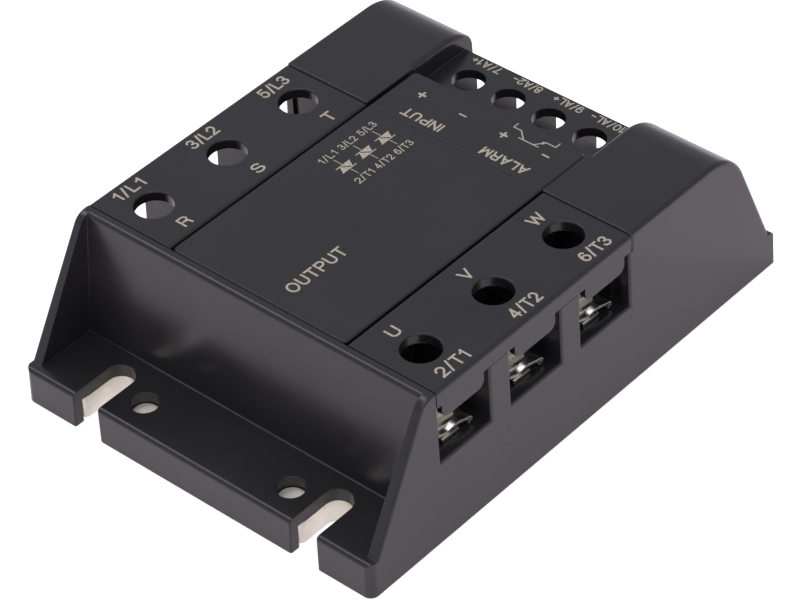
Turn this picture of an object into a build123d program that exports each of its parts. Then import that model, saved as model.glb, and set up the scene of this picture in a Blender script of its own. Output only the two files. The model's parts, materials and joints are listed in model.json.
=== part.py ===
"""Three-phase solid state relay for panel mounting, as separate pieces.

Millimetres. +Z is up from the mounting surface, +Y runs from the line end of the
label towards the control terminals, +X towards the load terminals.
The origin is the centre of the base plate's underside.
"""
from build123d import *
import math
import os

os.makedirs("parts", exist_ok=True)

# ---------------------------------------------------------------- driving sizes
base_length = 104.0
base_width = 75.8
near_corner_radius = 1.6
far_corner_radius = 0.8
side_draft = 1.35           # degrees, so the case leaves its mould
skirt_bottom = 0.1          # the metal plate stands this proud of the case

plate_length = 100.0
plate_width = 71.2
plate_thickness = 4.6
plate_clearance = 0.1
plate_corner = 2.4
plate_mouth_radius = 1.6    # rounds the plate's edge beside each slot
plate_chamfer = 0.3

flange_top = 7.0
flange_edge_radius = 0.8
flange_end_foot = base_length / 2 - 0.01      # just inside the drafted block
flange_end_head = flange_end_foot - flange_top * math.tan(math.radians(side_draft))
slot_radius = 2.8
slot_spacing = 47.6         # across the width
slot_centre_y = 43.8        # centre of each slot's round end
metal_slot_radius = 2.7
mouth_radius = 0.4
pin_hole_radius = 2.5
pin_head_radius = 2.4
pin_head_height = 0.3
pin_shank_radius = 1.5
pin_shank_bottom = 0.6
pin_x = 16.0
pin_y = 45.9
pin_places = [(sx * pin_x, sy * pin_y) for sx in (-1, 1) for sy in (-1, 1)]

case_top = 30.5
hump_top = 30.8
roof_top = 28.6             # what the covers and the top panel rest on
roof_bottom = 27.2
chamber_half_width = 19.0   # room for the electronics
chamber_near = -33.4
chamber_far = 24.0
chamber_corner = 1.0
hump_hollow_x = 28.3        # empty hollows that keep the plastic's thickness even
hump_hollow_y = 26.4
hump_hollow_width = 13.4
hump_hollow_length = 22.0
hump_hollow_corner = 1.5
hump_roof = 2.2

gusset_inner = 35.6         # the recesses at the two ends lie between the gussets
gusset_near_foot = -50.0
gusset_near_head = -37.1
gusset_far_foot = 50.85
gusset_far_head = 41.1
near_head_radius = 3.0
far_head_radius = 10.0
near_wall_foot = -38.5
wall_foot_radius = 0.25
rim_radius = 0.9
hump_inner_radius = 1.0
hump_outer_radius = 0.8
hump_step_radius = 0.25     # softens the small step up from the covers
gusset_edge_radius = 0.5
near_wall_head = -36.2
far_wall_foot = 42.2
far_wall_head = 41.0
control_wall = 39.5

cover_near = -34.5          # pocket that takes a terminal cover
cover_far = 13.65
cover_inner = 18.95
cover_gap = 0.25            # at the near end
cover_far_gap = 0.06        # the covers close up against the humps
cover_inner_rounding = 0.6
cover_outer_rounding = 0.8
rim_chamfer = 0.2
cover_thickness = 1.8
band_bottom = 27.3          # cover's side band
band_inner = 35.6
lip_bottom = 24.5
lip_width = 9.9
lip_thickness = 1.2
lip_corner = 1.4
window_edge_radius = 0.5
window_edge_reach = 0.7     # the windows' outer edges lie this close to the widest side
driver_hole_radius = 3.4
latch_x = 34.65
latch_width = 1.5
latch_depth = 0.9
latch_bottom = 25.6
latch_slot_gap = 0.4        # the latch slots are this much wider than the latches
latch_slot_depth = 0.6

panel_half_width = 18.5
panel_far = 25.6
panel_corner = 1.0
panel_chamfer = 0.25
groove_half_width = 0.3
groove_depth = 0.3
panel_groove_y = 13.7
panel_peg_radius = 1.0

power_x = 28.57             # power terminal screws
power_y = (-27.8, -10.3, 7.2)
window_near = (-34.5, -17.0, 0.5)
window_width = 12.55
sill = 16.2
compartment_inner = 21.6

bus_top = 17.0
bus_thickness = 1.0
bus_width = 6.2
tongue_width = 3.9
tongue_shift = -1.05        # the tongue is stamped off centre, along Y
tongue_tip = 34.95
bus_shoulder = 33.2
riser_x = 17.6
riser_width = 6.0
foot_inner = 11.5

screw_radius = 2.0
screw_length = 8.4
screw_clearance = 0.05
head_radius = 3.5
head_height = 2.0
head_flange = 0.4           # straight rim below the rounded head
washer_side = 7.0           # square pressure washer under the screw's head
washer_corner = 0.6
washer_height = 1.0
washer_chamfer = 0.2
clamp_lift = 0.25           # rest gap under a clamp
clamp_thickness = 0.6
clamp_turn = 8.0            # degrees that tightening has dragged the clamp round
clamp_inner_reach = 5.3     # from the screw's axis, towards the middle of the relay
clamp_lip_start = 4.9       # the plain plate ends and the waved lip starts
clamp_outer_reach = 6.2
clamp_flat = 3.85           # half width of the flat middle
clamp_bend = 0.25           # inside radius of the curled edges
clamp_curl = 0.5            # how far the curled edges reach below the flat
hook_outer = 0.65           # rolled ends of the waved lip
hook_inner = 0.12
hook_centre = 4.05
hook_height = 17.2
hook_mouth = 0.72           # the rolled ends stay open towards the middle
hook_mouth_drop = 0.2
lip_wave = (                # along the lip, from the flat: (place, height)
    (-2.4, -0.02),
    (-0.8, -0.28),
    (0.8, 0.12),
    (2.4, 0.22),
)
screw_tip_chamfer = 0.5
head_rounding_share = 0.4   # of the head's height
cross_arm_share = 0.42      # width of a recess arm, as a share of its reach
cross_centre_share = 0.95   # radius of the round middle, as a share of the arm's width
cross_depth_share = 0.6     # of the head's height
power_recess = 2.2          # reach of the cross recess from the screw's axis
control_recess = 1.6
nut_side = 7.0
nut_height = 3.2
nut_gap = 0.2               # a nut's seat is this much wider than the nut
seat_gap = 0.3              # the same for a power plate or a control contact
seat_end_gap = 0.4
seat_depth_gap = 0.1
tip_gap = 0.5               # room round a screw's tip
tip_depth = 3.4             # and below its nut

control_x = (-13.14, -4.38, 4.38, 13.14)
control_y = 33.1
strip_top = 26.6
strip_bottom = 24.8
strip_half_width = 19.2
control_hole_radius = 2.95
control_window_half = 3.65
control_inner = 28.6
control_floor = 14.6
contact_thickness = 0.8
contact_half_width = 2.8
control_screw_radius = 1.5
control_screw_length = 6.0
control_head_radius = 2.7
control_head_height = 2.0
control_washer_radius = 2.9
control_washer_height = 0.4
contact_tip = 38.4          # the contact's outer end, along Y
contact_tail_width = 1.2
control_arch_half = 2.2     # shallow arch under a control clamp, along X
control_arch_height = 0.45
control_clamp_lift = 0.5
control_clamp_thickness = 0.8
control_clamp_half = 3.1
control_nut_side = 5.5
control_nut_height = 2.4
control_tip_gap = 0.4
control_tip_depth = 3.0

panel_pegs = [(sx * 12.0, y) for sx in (-1, 1) for y in (-28.0, 19.0)]

board_bottom = 11.8
board_thickness = 1.6
board_half_width = 16.3
board_end_gap = 0.5
substrate_width = 37.4
substrate_length = 15.5
substrate_top = plate_thickness + 1.0
chip_top = substrate_top + 0.4
chip_x = 6.0
chip_side = 8.0
lead_x = 2.6
lead_radius = 0.4
lead_stand_out = 0.6        # how far a lead reaches above the board
sensor_y = 19.0
sensor_height = 4.0
sensor_lead_x = 1.5
sensor_lead_radius = 0.35
compound_depth = 4.4
foot_thickness = 0.8
phase_y = (-25.0, -8.0, 9.0)

opto_x = 9.5                # parts that stand on the circuit board
opto_shift = -1.0           # along Y, from the middle of its phase
opto_width = 6.4
opto_length = 8.8
opto_height = 3.4
capacitor_x = -11.5
capacitor_width = 6.0
capacitor_length = 13.0
capacitor_height = 11.0
resistor_x = -5.0
resistor_radius = 2.0
resistor_length = 10.0
absorber_x = 2.0
absorber_radius = 5.0
absorber_thickness = 3.6
board_gap = 0.1             # bodies of the round parts stay just clear of the board
absorber_lift = 0.6
regulator_place = (-9.0, 17.6)
regulator_width = 6.6
regulator_thickness = 3.2
regulator_height = 8.0
transistor_x = 7.5
transistor_y = 18.4
transistor_radius = 2.4
transistor_flat = 1.0       # the flat side's distance from the axis
transistor_height = 5.0


def save(piece, name):
    """Label one finished piece and write its file."""
    piece.label = name
    export_step(piece, f"parts/{name}.step")


# ---------------------------------------------------------------- base plate
with BuildPart() as base_plate:
    with BuildSketch() as plate_outline:
        Rectangle(plate_width, plate_length)
        fillet(plate_outline.vertices(), plate_corner)
        for sx in (-1, 1):
            for sy in (-1, 1):
                with Locations((sx * slot_spacing / 2, sy * (slot_centre_y + plate_length / 4))):
                    Rectangle(2 * metal_slot_radius, plate_length / 2, mode=Mode.SUBTRACT)
                with Locations((sx * slot_spacing / 2, sy * slot_centre_y)):
                    Circle(metal_slot_radius, mode=Mode.SUBTRACT)
        mouths = plate_outline.vertices().filter_by(
            lambda v: abs(v.Y) > plate_length / 2 - 0.01
            and abs(abs(abs(v.X) - slot_spacing / 2) - metal_slot_radius) < 0.01
        )
        fillet(mouths, plate_mouth_radius)
        with Locations(*pin_places):
            Circle(pin_shank_radius, mode=Mode.SUBTRACT)
    extrude(amount=plate_thickness)
    chamfer(base_plate.faces().sort_by(Axis.Z)[0].outer_wire().edges(), plate_chamfer)
save(base_plate.part, "base_plate")

# ---------------------------------------------------------------- locating pins
with BuildPart() as locating_pins:
    with BuildSketch(Plane.XY.offset(pin_shank_bottom)):
        with Locations(*pin_places):
            Circle(pin_shank_radius)
    extrude(amount=plate_thickness - pin_shank_bottom)
    with BuildSketch(Plane.XY.offset(plate_thickness)):
        with Locations(*pin_places):
            Circle(pin_head_radius)
    extrude(amount=pin_head_height)
    chamfer(locating_pins.edges().group_by(Axis.Z)[-1], pin_head_height / 2)
save(locating_pins.part, "locating_pins")

# ---------------------------------------------------------------- case
with BuildPart() as case:
    # drafted block with rounded corners
    with BuildSketch(Plane.XY.offset(skirt_bottom)) as footprint:
        Rectangle(base_width, base_length)
        ends = footprint.vertices().group_by(Axis.Y)
        fillet(ends[0], near_corner_radius)
        fillet(ends[-1], far_corner_radius)
    extrude(amount=hump_top + 0.2, taper=side_draft)

    # side profile: flanges, sloping gussets, the raised humps at the control end
    with BuildSketch(Plane.YZ) as side_profile:
        with BuildLine():
            Polyline(
                (-flange_end_foot, 0),
                (-flange_end_head, flange_top),
                (gusset_near_foot, flange_top),
                (gusset_near_head, case_top),
                (cover_far, case_top),
                (cover_far, hump_top),
                (gusset_far_head, hump_top),
                (gusset_far_foot, flange_top),
                (flange_end_head, flange_top),
                (flange_end_foot, 0),
                close=True,
            )
        make_face()
        for end in (-flange_end_head, flange_end_head):
            front = side_profile.vertices().sort_by_distance((end, flange_top, 0))[0]
            fillet(front, flange_edge_radius)
        corners = side_profile.vertices()
        near_head = corners.sort_by_distance((gusset_near_head, case_top, 0))[0]
        fillet(near_head, near_head_radius)
        corners = side_profile.vertices()
        far_head = corners.sort_by_distance((gusset_far_head, hump_top, 0))[0]
        fillet(far_head, far_head_radius)
        corners = side_profile.vertices()
        step = corners.sort_by_distance((cover_far, hump_top, 0))[0]
        fillet(step, hump_step_radius)
    extrude(amount=base_width, both=True, mode=Mode.INTERSECT)

    # near recess between the gussets
    with BuildSketch(Plane.YZ) as near_recess:
        with BuildLine():
            Polyline(
                (-base_length / 2 - 2, flange_top),
                (near_wall_foot, flange_top),
                (near_wall_head, case_top),
                (near_wall_head + 1.2, case_top),
                (near_wall_head + 1.2, case_top + 1),
                (-base_length / 2 - 2, case_top + 1),
                close=True,
            )
        make_face()
        foot = near_recess.vertices().sort_by_distance((near_wall_foot, flange_top, 0))[0]
        fillet(foot, wall_foot_radius)
        rim = near_recess.vertices().sort_by_distance((near_wall_head, case_top, 0))[0]
        fillet(rim, rim_radius)
    extrude(amount=gusset_inner, both=True, mode=Mode.SUBTRACT)

    # far recess: the hump ends stand out a little beyond the control wall
    with BuildSketch(Plane.YZ):
        with BuildLine():
            Polyline(
                (base_length / 2 + 2, flange_top),
                (far_wall_foot, flange_top),
                (far_wall_head, hump_top + 1),
                (base_length / 2 + 2, hump_top + 1),
                close=True,
            )
        make_face()
    extrude(amount=gusset_inner, both=True, mode=Mode.SUBTRACT)

    # control strip, lower than the humps on each side of it
    with BuildSketch(Plane.XY.offset(flange_top)):
        with Locations((0, (control_wall + base_length / 2) / 2)):
            Rectangle(2 * strip_half_width, base_length / 2 - control_wall)
    extrude(amount=hump_top, mode=Mode.SUBTRACT)
    with BuildSketch(Plane.XY.offset(strip_top)):
        with Locations((0, (cover_far + 12 + base_length / 2) / 2)):
            Rectangle(2 * strip_half_width, base_length / 2 - cover_far - 12)
    extrude(amount=10, mode=Mode.SUBTRACT)

    # long hump edges beside the strip
    hump_edges = case.edges().filter_by(Axis.Y).filter_by(
        lambda e: e.center().Z > hump_top - 0.05 and abs(abs(e.center().X) - strip_half_width) < 0.05
    )
    fillet(hump_edges, hump_inner_radius)

    # seat for the covers and for the top panel
    with BuildSketch(Plane.XY.offset(roof_top)):
        with Locations((0, (cover_near + cover_far) / 2)):
            Rectangle(base_width + 2, cover_far - cover_near)
        with Locations((0, (cover_far + cover_far + 12) / 2)):
            Rectangle(2 * cover_inner, 12)
    extrude(amount=10, mode=Mode.SUBTRACT)
    with BuildSketch(Plane.XY.offset(band_bottom - 0.1)):
        for side in (-1, 1):
            with Locations((side * (band_inner + 1.4), (cover_near + cover_far) / 2)):
                Rectangle(3.0, cover_far - cover_near)
    extrude(amount=10, mode=Mode.SUBTRACT)

    # outer edges of the humps and of the near gussets, down to the flanges
    outer_edges = case.edges().filter_by(
        lambda e: abs(e.center().X) > base_width / 2 - 1.3 and e.center().Z > flange_top + 1
    )
    fillet(outer_edges.filter_by(lambda e: e.center().Y > cover_far + 1), hump_outer_radius)
    outer_edges = case.edges().filter_by(
        lambda e: abs(e.center().X) > base_width / 2 - 1.3 and e.center().Z > flange_top + 1
    )
    fillet(outer_edges.filter_by(lambda e: e.center().Y < cover_near - 0.5), gusset_edge_radius)

    # power terminal compartments, open to the sides
    for side in (-1, 1):
        for near in window_near:
            with BuildSketch(Plane.XY.offset(sill)):
                with Locations((side * (compartment_inner + 40) / 2, near + window_width / 2)):
                    Rectangle(40 - compartment_inner, window_width)
            extrude(amount=20, mode=Mode.SUBTRACT)

    # the windows' outer edges are soft
    window_edges = case.edges().filter_by(
        lambda e: abs(e.center().X) > base_width / 2 - window_edge_reach
        and sill - 0.05 < e.center().Z < band_bottom
        and cover_near - 0.05 < e.center().Y < window_near[-1] + window_width + 0.05
        and (e.length > band_bottom - sill - 0.6)
        and (abs(e.center().Z - sill) < 0.05 or abs(e.center().Z - (sill + band_bottom) / 2) < 0.3)
    )
    fillet(window_edges, window_edge_radius)

    # slots in the end walls for the covers' latches
    for side in (-1, 1):
        with BuildSketch(Plane.XY.offset(sill)):
            with Locations((side * latch_x, cover_near)):
                Rectangle(latch_width + latch_slot_gap, 2 * latch_slot_depth)
            with Locations((side * latch_x, cover_far - latch_slot_depth / 2)):
                Rectangle(latch_width + latch_slot_gap, latch_slot_depth)
        extrude(amount=roof_top - sill, mode=Mode.SUBTRACT)

    # control terminal compartments, open to the far end, with driver holes above
    for x in control_x:
        with BuildSketch(Plane.XY.offset(control_floor)):
            with Locations((x, (control_inner + 45) / 2)):
                Rectangle(2 * control_window_half, 45 - control_inner)
        extrude(amount=strip_bottom - control_floor, mode=Mode.SUBTRACT)
    with BuildSketch(Plane.XY.offset(strip_bottom)):
        with Locations(*[(x, control_y) for x in control_x]):
            Circle(control_hole_radius)
    extrude(amount=strip_top - strip_bottom, mode=Mode.SUBTRACT)

    # pocket for the base plate, electronics chamber and the hollows under the humps
    with BuildSketch():
        RectangleRounded(
            plate_width + 2 * plate_clearance,
            plate_length + 2 * plate_clearance,
            plate_corner + plate_clearance,
        )
    extrude(amount=plate_thickness, mode=Mode.SUBTRACT)
    with BuildSketch():
        with Locations((0, (chamber_near + chamber_far) / 2)):
            RectangleRounded(2 * chamber_half_width, chamber_far - chamber_near, chamber_corner)
    extrude(amount=roof_bottom, mode=Mode.SUBTRACT)
    for side in (-1, 1):
        with BuildSketch():
            with Locations((side * hump_hollow_x, hump_hollow_y)):
                RectangleRounded(hump_hollow_width, hump_hollow_length, hump_hollow_corner)
        extrude(amount=hump_top - hump_roof, mode=Mode.SUBTRACT)

    # seats in the shelves for the power plates, their nuts and the screw tips
    for side in (-1, 1):
        for y in power_y:
            with BuildSketch(Plane.XY.offset(bus_top - bus_thickness)):
                with Locations((side * (riser_x + bus_shoulder) / 2, y)):
                    Rectangle(bus_shoulder - riser_x + seat_end_gap, bus_width + seat_gap)
                with Locations(
                    (side * (bus_shoulder + tongue_tip) / 2, y + side * tongue_shift)
                ):
                    Rectangle(tongue_tip - bus_shoulder + seat_end_gap, tongue_width + seat_gap)
            extrude(amount=bus_thickness + seat_depth_gap, mode=Mode.SUBTRACT)
            with BuildSketch(Plane.XY.offset(bus_top - bus_thickness)):
                with Locations((side * power_x, y)):
                    Rectangle(nut_side + nut_gap, nut_side + nut_gap)
            extrude(amount=-nut_height, mode=Mode.SUBTRACT)
            with BuildSketch(Plane.XY.offset(bus_top - bus_thickness - nut_height)):
                with Locations((side * power_x, y)):
                    Circle(screw_radius + tip_gap)
            extrude(amount=-tip_depth, mode=Mode.SUBTRACT)

    # the same for the control contacts
    for x in control_x:
        with BuildSketch(Plane.XY.offset(control_floor)):
            with Locations((x, (chamber_far + control_inner) / 2)):
                Rectangle(2 * contact_half_width + seat_gap, control_inner - chamber_far + 1)
        extrude(amount=contact_thickness + seat_depth_gap, mode=Mode.SUBTRACT)
        with BuildSketch(Plane.XY.offset(control_floor)):
            with Locations((x, control_y)):
                Rectangle(control_nut_side + nut_gap, control_nut_side + nut_gap)
        extrude(amount=-control_nut_height, mode=Mode.SUBTRACT)
        with BuildSketch(Plane.XY.offset(control_floor - control_nut_height)):
            with Locations((x, control_y)):
                Circle(control_screw_radius + control_tip_gap)
        extrude(amount=-control_tip_depth, mode=Mode.SUBTRACT)

    # holes in the roof for the top panel's pegs
    with BuildSketch(Plane.XY.offset(roof_bottom)):
        with Locations(*panel_pegs):
            Circle(panel_peg_radius + 0.05)
    extrude(amount=roof_top - roof_bottom, mode=Mode.SUBTRACT)

    # mounting slots with rounded mouths, and the pin holes
    with BuildSketch():
        for sx in (-1, 1):
            for sy in (-1, 1):
                for edge in (-1, 1):
                    wall_x = sx * slot_spacing / 2 + edge * slot_radius
                    centre_y = sy * (base_length / 2 - mouth_radius)
                    corner_x = wall_x + edge * mouth_radius / 2
                    corner_y = centre_y + sy * mouth_radius / 2
                    with Locations((corner_x, corner_y)):
                        Rectangle(mouth_radius, mouth_radius)
                    with Locations((wall_x + edge * mouth_radius, centre_y)):
                        Circle(mouth_radius, mode=Mode.SUBTRACT)
                with Locations((sx * slot_spacing / 2, sy * (slot_centre_y + 10))):
                    Rectangle(2 * slot_radius, 20)
                with Locations((sx * slot_spacing / 2, sy * slot_centre_y)):
                    Circle(slot_radius)
        with Locations(*pin_places):
            Circle(pin_hole_radius)
    extrude(amount=flange_top + 1, mode=Mode.SUBTRACT)
save(case.part, "case")

# ---------------------------------------------------------------- top panel
with BuildPart() as top_panel:
    with BuildSketch(Plane.XY.offset(roof_top)):
        with Locations((0, (cover_near + cover_gap + panel_far) / 2)):
            RectangleRounded(
                2 * panel_half_width, panel_far - cover_near - cover_gap, panel_corner
            )
    extrude(amount=case_top - roof_top)
    chamfer(top_panel.edges().group_by(Axis.Z)[-1], panel_chamfer)
    # shallow groove between the output half and the input half
    with BuildSketch(Plane.YZ):
        with BuildLine():
            Polyline(
                (panel_groove_y - groove_half_width, case_top + 0.1),
                (panel_groove_y + groove_half_width, case_top + 0.1),
                (panel_groove_y, case_top - groove_depth),
                close=True,
            )
        make_face()
    extrude(amount=panel_half_width + 1, both=True, mode=Mode.SUBTRACT)
    with BuildSketch(Plane.XY.offset(roof_bottom + 0.2)):
        with Locations(*panel_pegs):
            Circle(panel_peg_radius)
    extrude(amount=roof_top - roof_bottom - 0.2)
save(top_panel.part, "top_panel")


# ---------------------------------------------------------------- terminal covers
def terminal_cover(side):
    """One cover over three power terminals; side is -1 or +1 along X."""
    near = cover_near + cover_gap
    far = cover_far - cover_far_gap
    draft_slope = math.tan(math.radians(side_draft))
    outer_top = base_width / 2 - (case_top - skirt_bottom) * draft_slope
    outer_low = base_width / 2 - (lip_bottom - skirt_bottom) * draft_slope
    outer_band = base_width / 2 - (band_bottom - skirt_bottom) * draft_slope
    with BuildPart() as cover:
        # plate and side band in one profile, drafted like the case
        with BuildSketch(Plane.XZ.offset(-near)) as profile:
            with BuildLine():
                Polyline(
                    (side * cover_inner, roof_top),
                    (side * band_inner, roof_top),
                    (side * band_inner, band_bottom),
                    (side * outer_band, band_bottom),
                    (side * outer_top, case_top),
                    (side * cover_inner, case_top),
                    close=True,
                )
            make_face()
            top_edge = profile.vertices().sort_by_distance((side * outer_top, case_top, 0))[0]
            fillet(top_edge, cover_outer_rounding)
            inner_edge = profile.vertices().sort_by_distance((side * cover_inner, case_top, 0))[0]
            fillet(inner_edge, cover_inner_rounding)
        extrude(amount=-(far - near))
        # a lip hangs into each window
        for window in window_near:
            lip_y = window + window_width / 2
            with BuildSketch(Plane.YZ.offset(side * (outer_low + 0.4))) as lip:
                with Locations((lip_y, (lip_bottom + band_bottom) / 2)):
                    Rectangle(lip_width, band_bottom - lip_bottom)
                low = lip.vertices().group_by(Axis.Y)[0]
                fillet(low, lip_corner)
            extrude(amount=-side * (lip_thickness + 0.4))
        # trim the lips to the drafted outer face
        with BuildSketch(Plane.XZ.offset(-near)):
            with BuildLine():
                Polyline(
                    (side * outer_low, lip_bottom),
                    (side * (outer_low + 2), lip_bottom),
                    (side * (outer_band + 2), band_bottom),
                    (side * outer_band, band_bottom),
                    close=True,
                )
            make_face()
        extrude(amount=-(far - near), mode=Mode.SUBTRACT)
        # screwdriver holes over the screws
        with BuildSketch(Plane.XY.offset(roof_top)):
            with Locations(*[(side * power_x, y) for y in power_y]):
                Circle(driver_hole_radius)
        extrude(amount=case_top - roof_top, mode=Mode.SUBTRACT)
        rims = cover.edges().filter_by(GeomType.CIRCLE).filter_by(
            lambda e: abs(e.center().Z - case_top) < 0.01
        )
        chamfer(rims, rim_chamfer)
        # two latches that drop into the case's end walls
        with BuildSketch(Plane.XY.offset(latch_bottom)):
            with Locations(
                (side * latch_x, near + latch_depth / 2), (side * latch_x, far - latch_depth / 2)
            ):
                Rectangle(latch_width, latch_depth)
        extrude(amount=roof_top - latch_bottom)
    return cover.part


for side, name in ((-1, "line_terminal_cover"), (1, "load_terminal_cover")):
    save(terminal_cover(side), name)


# ---------------------------------------------------------------- power terminals
def power_bus(side, y, foot_y):
    """Bent plate from the substrate up through the case to a terminal seat."""
    with BuildPart() as bus:
        # seat, drawn from above
        with BuildSketch(Plane.XY.offset(bus_top - bus_thickness)):
            with Locations((side * (riser_x + bus_shoulder) / 2, y)):
                Rectangle(bus_shoulder - riser_x, bus_width)
            with Locations((side * (bus_shoulder + tongue_tip) / 2, y + side * tongue_shift)):
                Rectangle(tongue_tip - bus_shoulder, tongue_width)
            with Locations((side * power_x, y)):
                Circle(screw_radius + 0.3, mode=Mode.SUBTRACT)
        extrude(amount=bus_thickness)
        # riser, widened enough to reach the foot
        low_y = min(y - riser_width / 2, foot_y - riser_width / 2)
        high_y = max(y + riser_width / 2, foot_y + riser_width / 2)
        with BuildSketch(Plane.XY.offset(substrate_top)):
            with Locations((side * (riser_x + bus_thickness / 2), (low_y + high_y) / 2)):
                Rectangle(bus_thickness, high_y - low_y)
        extrude(amount=bus_top - substrate_top)
        # foot soldered to the substrate
        with BuildSketch(Plane.XY.offset(substrate_top)):
            with Locations((side * (foot_inner + riser_x + bus_thickness) / 2, foot_y)):
                Rectangle(riser_x + bus_thickness - foot_inner, riser_width)
        extrude(amount=foot_thickness)
    return bus.part


def clamp_frame(side, y, reach):
    """Plane across a clamp at this distance from the screw; its X runs along the clamp's width."""
    turn = math.radians(clamp_turn)
    along = Vector(side * math.cos(turn), -side * math.sin(turn), 0)
    across = Vector(side * math.sin(turn), side * math.cos(turn), 0)
    return Plane(origin=Vector(side * power_x, y, 0) + along * reach, x_dir=across, z_dir=along)


def saddle_clamp(side, y):
    """Clamping plate under a power screw: curled long edges and a waved lip with rolled ends."""
    rest = bus_top + clamp_lift
    top = rest + clamp_thickness
    inner = clamp_flat + clamp_bend
    outer = inner + clamp_thickness
    bend_z = rest - clamp_bend
    tip = rest - clamp_curl
    middle = hook_height + (hook_outer + hook_inner) / 2
    half = (hook_outer - hook_inner) / 2
    diagonal = math.sqrt(0.5)
    with BuildPart() as clamp:
        # plain plate
        with BuildSketch(clamp_frame(side, y, -clamp_inner_reach)):
            with BuildLine():
                Line((-clamp_flat, top), (clamp_flat, top))
                for turn in (1, -1):
                    wide = (outer - clamp_flat) * diagonal
                    tight = clamp_bend * diagonal
                    ThreePointArc(
                        (turn * clamp_flat, top),
                        (turn * (clamp_flat + wide), bend_z + wide),
                        (turn * outer, bend_z),
                    )
                    Polyline(
                        (turn * outer, bend_z),
                        (turn * outer, tip),
                        (turn * inner, tip),
                        (turn * inner, bend_z),
                    )
                    ThreePointArc(
                        (turn * inner, bend_z),
                        (turn * (clamp_flat + tight), bend_z + tight),
                        (turn * clamp_flat, rest),
                    )
                Line((clamp_flat, rest), (-clamp_flat, rest))
            make_face()
        extrude(amount=clamp_inner_reach + clamp_lip_start)
        # waved lip, rolled under at both ends
        with BuildSketch(clamp_frame(side, y, clamp_lip_start)):
            with BuildLine():
                for face_z in (middle + half, middle - half):
                    Spline(
                        (-hook_centre, face_z),
                        *[(place, face_z + rise) for place, rise in lip_wave],
                        (hook_centre, face_z),
                        tangents=((1, 0), (1, 0)),
                    )
                for turn in (1, -1):
                    Line((turn * hook_centre, middle - half), (turn * hook_centre, middle + half))
            make_face()
            for turn in (1, -1):
                with Locations((turn * hook_centre, hook_height)):
                    Circle(hook_outer)
            for turn in (1, -1):
                with Locations((turn * hook_centre, hook_height)):
                    Circle(hook_inner, mode=Mode.SUBTRACT)
                with Locations((turn * (hook_centre - hook_outer), hook_height - hook_mouth_drop)):
                    Rectangle(2 * hook_outer, hook_mouth, mode=Mode.SUBTRACT)
        extrude(amount=clamp_outer_reach - clamp_lip_start)
        with BuildSketch(Plane.XY.offset(rest)):
            with Locations((side * power_x, y)):
                Circle(screw_radius + screw_clearance)
        extrude(amount=clamp_thickness, mode=Mode.SUBTRACT)
    return clamp.part


def pressure_washer(side, y):
    """Square washer between a power screw's head and its clamp."""
    turn = math.radians(clamp_turn)
    seat = Plane(
        origin=(side * power_x, y, bus_top + clamp_lift + clamp_thickness),
        x_dir=(math.cos(turn), -math.sin(turn), 0),
        z_dir=(0, 0, 1),
    )
    with BuildPart() as washer:
        with BuildSketch(seat):
            RectangleRounded(washer_side, washer_side, washer_corner)
            Circle(screw_radius + screw_clearance, mode=Mode.SUBTRACT)
        extrude(amount=washer_height)
        chamfer(washer.faces().sort_by(Axis.Z)[-1].outer_wire().edges(), washer_chamfer)
    return washer.part


def screw(x, y, seat, radius, length, head_r, head_h, washer_r, washer_h, recess_r):
    """Pan-head screw with its washer; seat is the underside of the washer."""
    top = seat + washer_h + head_h
    arm = recess_r * cross_arm_share
    with BuildPart() as part:
        with BuildSketch(Plane.XY.offset(seat - length)):
            with Locations((x, y)):
                Circle(radius)
        extrude(amount=length)
        chamfer(part.edges().group_by(Axis.Z)[0], screw_tip_chamfer)
        with BuildSketch(Plane.XY.offset(seat)):
            with Locations((x, y)):
                Circle(washer_r)
        extrude(amount=washer_h)
        with BuildSketch(Plane.XY.offset(seat + washer_h)):
            with Locations((x, y)):
                Circle(head_r)
        extrude(amount=head_h)
        fillet(part.edges().group_by(Axis.Z)[-1], head_h * head_rounding_share)
        with BuildSketch(Plane.XY.offset(top)):
            with Locations((x, y)):
                Rectangle(2 * recess_r, arm)
                Rectangle(arm, 2 * recess_r)
                Circle(arm * cross_centre_share)
        extrude(amount=-head_h * cross_depth_share, mode=Mode.SUBTRACT)
    return part.part


for side, row in ((-1, "line"), (1, "load")):
    for number, y in enumerate(power_y):
        label = f"{row}_{number + 1}"
        save(power_bus(side, y, phase_y[number]), f"{label}_bus")
        save(saddle_clamp(side, y), f"{label}_clamp")
        save(pressure_washer(side, y), f"{label}_washer")
        power_screw = screw(
            side * power_x, y, bus_top + clamp_lift + clamp_thickness + washer_height,
            screw_radius, screw_length,
            head_radius, head_height,
            head_radius, head_flange, power_recess,
        )
        save(power_screw, f"{label}_screw")

with BuildPart() as power_nuts:
    with BuildSketch(Plane.XY.offset(bus_top - bus_thickness - nut_height)):
        with Locations(*[(side * power_x, y) for side in (-1, 1) for y in power_y]):
            Rectangle(nut_side, nut_side)
            Circle(screw_radius + screw_clearance, mode=Mode.SUBTRACT)
    extrude(amount=nut_height)
save(power_nuts.part, "power_nuts")


# ---------------------------------------------------------------- control terminals
def control_contact(x):
    """Flat contact with a tail bent down to the circuit board."""
    tail_y = chamber_far - 2.4
    with BuildPart() as contact:
        with BuildSketch(Plane.XY.offset(control_floor)):
            with Locations((x, (tail_y + contact_tip) / 2)):
                Rectangle(2 * contact_half_width, contact_tip - tail_y)
            with Locations((x, control_y)):
                Circle(control_screw_radius + 0.2, mode=Mode.SUBTRACT)
        extrude(amount=contact_thickness)
        with BuildSketch(Plane.XY.offset(board_bottom - 0.4)):
            with Locations((x, tail_y + contact_thickness / 2)):
                Rectangle(contact_tail_width, contact_thickness)
        extrude(amount=control_floor - board_bottom + 0.4)
    return contact.part


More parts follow.
